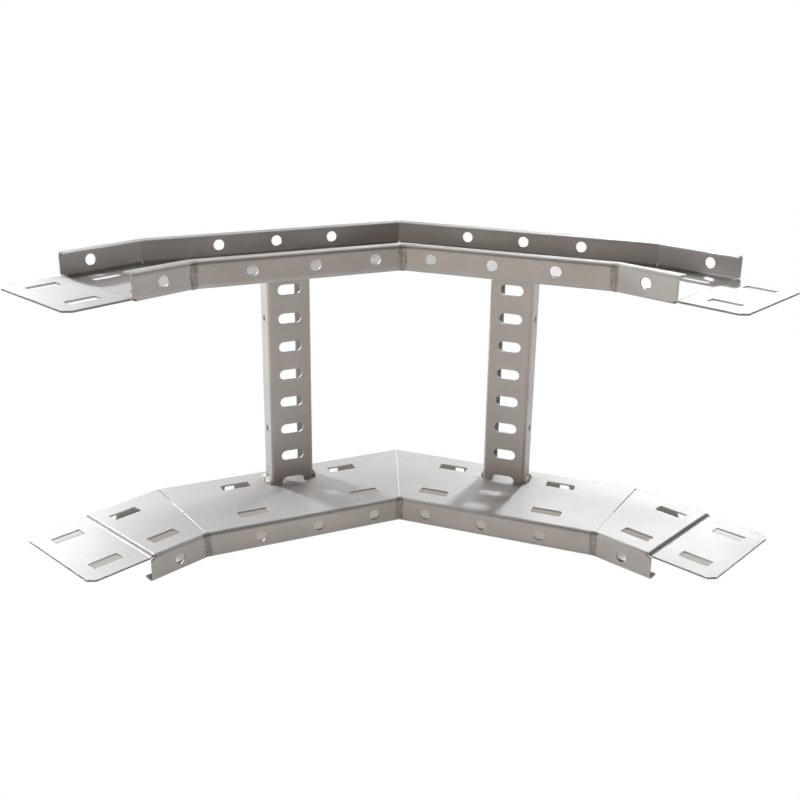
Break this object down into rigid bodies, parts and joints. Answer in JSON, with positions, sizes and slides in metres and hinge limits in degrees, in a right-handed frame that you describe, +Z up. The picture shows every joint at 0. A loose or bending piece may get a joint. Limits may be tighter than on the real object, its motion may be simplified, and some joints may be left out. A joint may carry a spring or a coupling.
{
  "type": "cable ladder vertical bend",
  "caption": "Vertical bend of a cable ladder: folded C-section side rails with stepped coupling plates, joined by slotted channel rungs.",
  "frame": {"origin": "centre of the footprint, on the floor that the folds of the lower rail's lips rest on", "axes": "+Z up, across the ladder from one rail to the other; X along the longest extent; the hollow of the bend faces -Y"},
  "size_m": [0.5866, 0.24, 0.244],
  "materials": {
    "rail_sheet": "satin mill finish",
    "rung_sheet": "satin mill finish"
  },
  "bodies": {
    "root": {"lower_rail": "rail_sheet", "upper_rail": "rail_sheet", "left_rung": "rung_sheet", "right_rung": "rung_sheet"}
  },
  "joints": []
}
